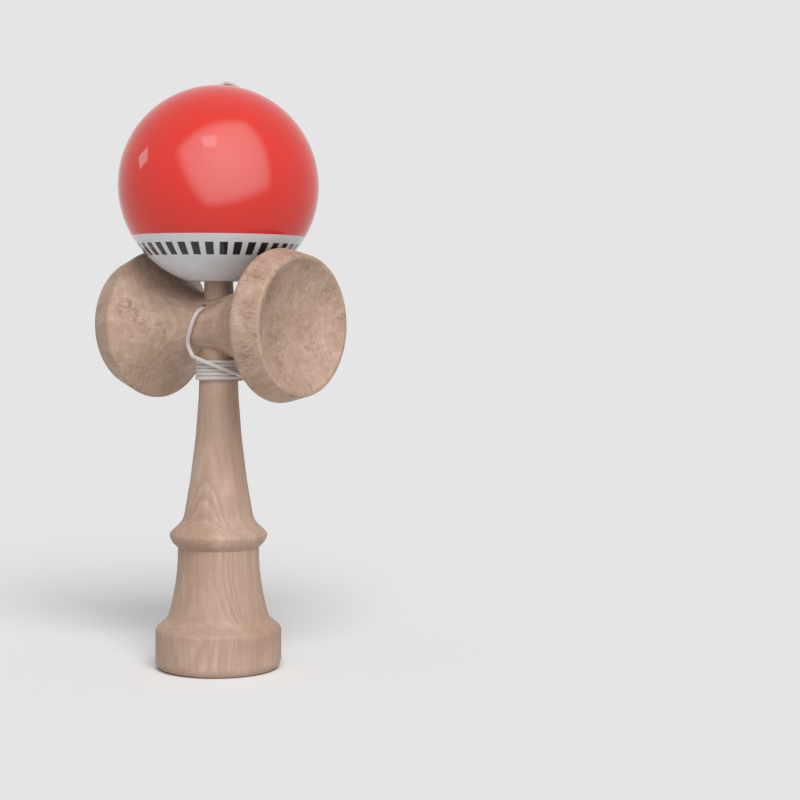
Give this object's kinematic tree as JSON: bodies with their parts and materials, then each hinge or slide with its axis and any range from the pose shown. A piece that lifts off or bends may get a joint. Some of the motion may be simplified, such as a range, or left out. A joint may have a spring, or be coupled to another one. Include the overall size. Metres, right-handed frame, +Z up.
{
  "type": "kendama",
  "caption": "Wooden skill toy: a drilled ball seated on the spike of a turned handle with a two-cup cross-piece, tied to it by a string wound round the handle.",
  "frame": {"origin": "middle of the base rim, on the surface that the toy stands on, on the axis of the handle", "axes": "+X along the cross-piece towards the big cup, -Y towards the front, where the string leaves the cross-piece, +Z up along the handle to the ball"},
  "size_m": [0.0654, 0.0617, 0.177],
  "materials": {
    "beech": "fine-sanded bare beech",
    "lacquer": "gloss lacquer on wood, red above a white band",
    "bead_wood": "smooth stained wood",
    "string": "braided off-white nylon"
  },
  "bodies": {
    "ken": {"ken": "beech", "sarado": "beech", "anchor_knot": "string", "string_loop": "string", "string_winding": "string", "string_riser": "string"},
    "string_end": {"bead": "bead_wood", "end_knot": "string", "string_tail": "string"},
    "tama": {"tama": "lacquer"}
  },
  "joints": [
    {"name": "tama_lift", "type": "slide", "parent": "ken", "child": "string_end", "axis": [0, 0, 1], "range_m": [0, 0.06], "deforming": ["string_riser"]},
    {"name": "tama_spin", "type": "hinge", "parent": "string_end", "child": "tama", "pos_m": [0, 0, 0.1455], "axis": [0, 0, 1], "continuous": true}
  ]
}
